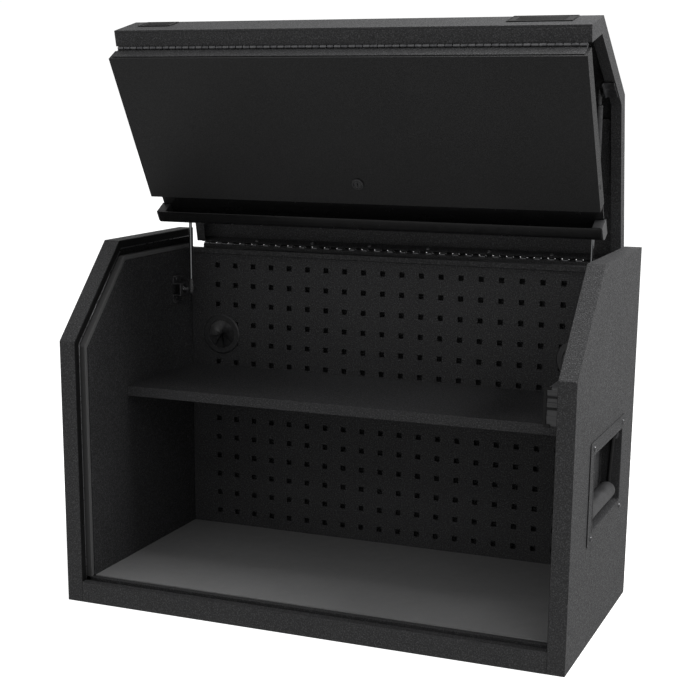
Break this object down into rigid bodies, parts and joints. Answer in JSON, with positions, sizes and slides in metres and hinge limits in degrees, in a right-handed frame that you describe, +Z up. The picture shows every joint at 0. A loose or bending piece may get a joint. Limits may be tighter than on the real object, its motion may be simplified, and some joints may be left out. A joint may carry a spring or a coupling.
{
  "type": "tool chest",
  "caption": "Black sheet-steel tool chest with a rear-hinged lid on gas struts, a drop front folded under the lid, a shelf, a pegboard back, side handles and a key lock.",
  "frame": {"origin": "middle of the underside of the base", "axes": "+Z up, +X towards the chest's right side as seen from the front, -Y towards the front; stored with the lid open and the front folded under it"},
  "size_m": [0.9116, 0.4767, 1.0118],
  "materials": {
    "textured_black": "fine textured powder coat, matte",
    "smooth_black": "smooth satin powder coat",
    "gloss_black": "glossy extruded pull",
    "dark_steel": "blackened steel, semi-gloss",
    "bright_steel": "polished rod",
    "black_rubber": "matte",
    "grey_liner": "thin mat, matte",
    "seal_foam": "soft foam strip, matte",
    "grey_plastic": "moulded, matte"
  },
  "bodies": {
    "case": {"side_panel_left": "textured_black", "side_panel_right": "textured_black", "inner_side_left": "textured_black", "inner_side_right": "textured_black", "edge_seal_left": "seal_foam", "edge_seal_right": "seal_foam", "grommet_left": "black_rubber", "grommet_right": "black_rubber", "grommet_star_left": "black_rubber", "grommet_star_right": "black_rubber", "handle_cup_left": "textured_black", "handle_cup_right": "textured_black", "strut_bracket_left": "dark_steel", "strut_bracket_right": "dark_steel", "back_cover": "textured_black", "peg_panel": "textured_black", "base_pan": "textured_black", "floor_deck": "textured_black", "floor_liner": "grey_liner", "shelf": "textured_black", "power_strip_case": "grey_plastic", "power_strip_face": "grey_plastic", "rear_hinge_case_leaf": "dark_steel", "rear_hinge_pin": "dark_steel"},
    "lid": {"lid_shell": "textured_black", "lid_stiffener": "textured_black", "rear_hinge_lid_leaf": "dark_steel", "front_hinge_lid_leaf": "dark_steel", "front_hinge_pin": "dark_steel", "lid_strut_bracket_left": "dark_steel", "lid_strut_bracket_right": "dark_steel", "badge_left": "smooth_black", "badge_right": "smooth_black"},
    "front": {"front_shell": "smooth_black", "front_hinge_front_leaf": "dark_steel", "pull": "gloss_black", "pull_cap_left": "grey_plastic", "pull_cap_right": "grey_plastic", "lock_barrel": "dark_steel", "rod_guide_left": "dark_steel", "rod_guide_right": "dark_steel"},
    "lock": {"lock_plug": "dark_steel", "lock_cam": "dark_steel"},
    "rod_left": {"lock_rod_left": "dark_steel"},
    "rod_right": {"lock_rod_right": "dark_steel"},
    "strut_low_left": {"strut_rod_end_left": "grey_plastic", "strut_rod_left": "bright_steel"},
    "strut_up_left": {"strut_cylinder_left": "smooth_black", "strut_cylinder_end_left": "grey_plastic"},
    "handle_left": {"bail_left": "dark_steel", "grip_left": "black_rubber"},
    "strut_low_right": {"strut_rod_end_right": "grey_plastic", "strut_rod_right": "bright_steel"},
    "strut_up_right": {"strut_cylinder_right": "smooth_black", "strut_cylinder_end_right": "grey_plastic"},
    "handle_right": {"bail_right": "dark_steel", "grip_right": "black_rubber"}
  },
  "joints": [
    {"name": "lid_hinge", "type": "hinge", "parent": "case", "child": "lid", "pos_m": [0, 0.2272, 0.601], "axis": [1, 0, 0], "range_deg": [0, 77.7]},
    {"name": "front_hinge", "type": "hinge", "parent": "lid", "child": "front", "pos_m": [0, -0.07011, 0.96471], "axis": [-1, 0, 0], "range_deg": [0, 107.55]},
    {"name": "strut_pivot_left", "type": "hinge", "parent": "case", "child": "strut_low_left", "pos_m": [-0.386, 0.14, 0.521], "axis": [1, 0, 0], "range_deg": [0, 75.6]},
    {"name": "strut_slide_left", "type": "slide", "parent": "strut_low_left", "child": "strut_up_left", "axis": [0, 0.0079, -1], "range_m": [0, 0.1482]},
    {"name": "strut_pivot_right", "type": "hinge", "parent": "case", "child": "strut_low_right", "pos_m": [0.386, 0.14, 0.521], "axis": [1, 0, 0], "range_deg": [0, 75.6]},
    {"name": "strut_slide_right", "type": "slide", "parent": "strut_low_right", "child": "strut_up_right", "axis": [0, 0.0079, -1], "range_m": [0, 0.1482]},
    {"name": "lock_turn", "type": "hinge", "parent": "front", "child": "lock", "pos_m": [0, 0.02556, 0.73832], "axis": [0, 0.8678, 0.497], "range_deg": [0, 90.5]},
    {"name": "lock_rod_slide_left", "type": "slide", "parent": "front", "child": "rod_left", "axis": [-1, 0, 0], "range_m": [0, 0.01]},
    {"name": "lock_rod_slide_right", "type": "slide", "parent": "front", "child": "rod_right", "axis": [1, 0, 0], "range_m": [0, 0.0101]},
    {"name": "handle_turn_left", "type": "hinge", "parent": "case", "child": "handle_left", "pos_m": [-0.443, 0.018, 0.317], "axis": [0, 1, 0], "range_deg": [0, 90]},
    {"name": "handle_turn_right", "type": "hinge", "parent": "case", "child": "handle_right", "pos_m": [0.443, 0.018, 0.317], "axis": [0, -1, 0], "range_deg": [0, 90]}
  ],
  "couplings": [
    {"joint": "front_hinge", "follows": "lid_hinge", "ratio": 1.3835},
    {"joint": "strut_pivot_left", "follows": "lid_hinge", "ratio": 0.97227},
    {"joint": "strut_slide_left", "follows": "lid_hinge", "m_per_rad": 0.10919},
    {"joint": "strut_pivot_right", "follows": "lid_hinge", "ratio": 0.97227},
    {"joint": "strut_slide_right", "follows": "lid_hinge", "m_per_rad": 0.10919},
    {"joint": "lock_turn", "follows": "lock_rod_slide_left", "rad_per_m": 157.08},
    {"joint": "lock_rod_slide_right", "follows": "lock_rod_slide_left", "ratio": 1}
  ]
}
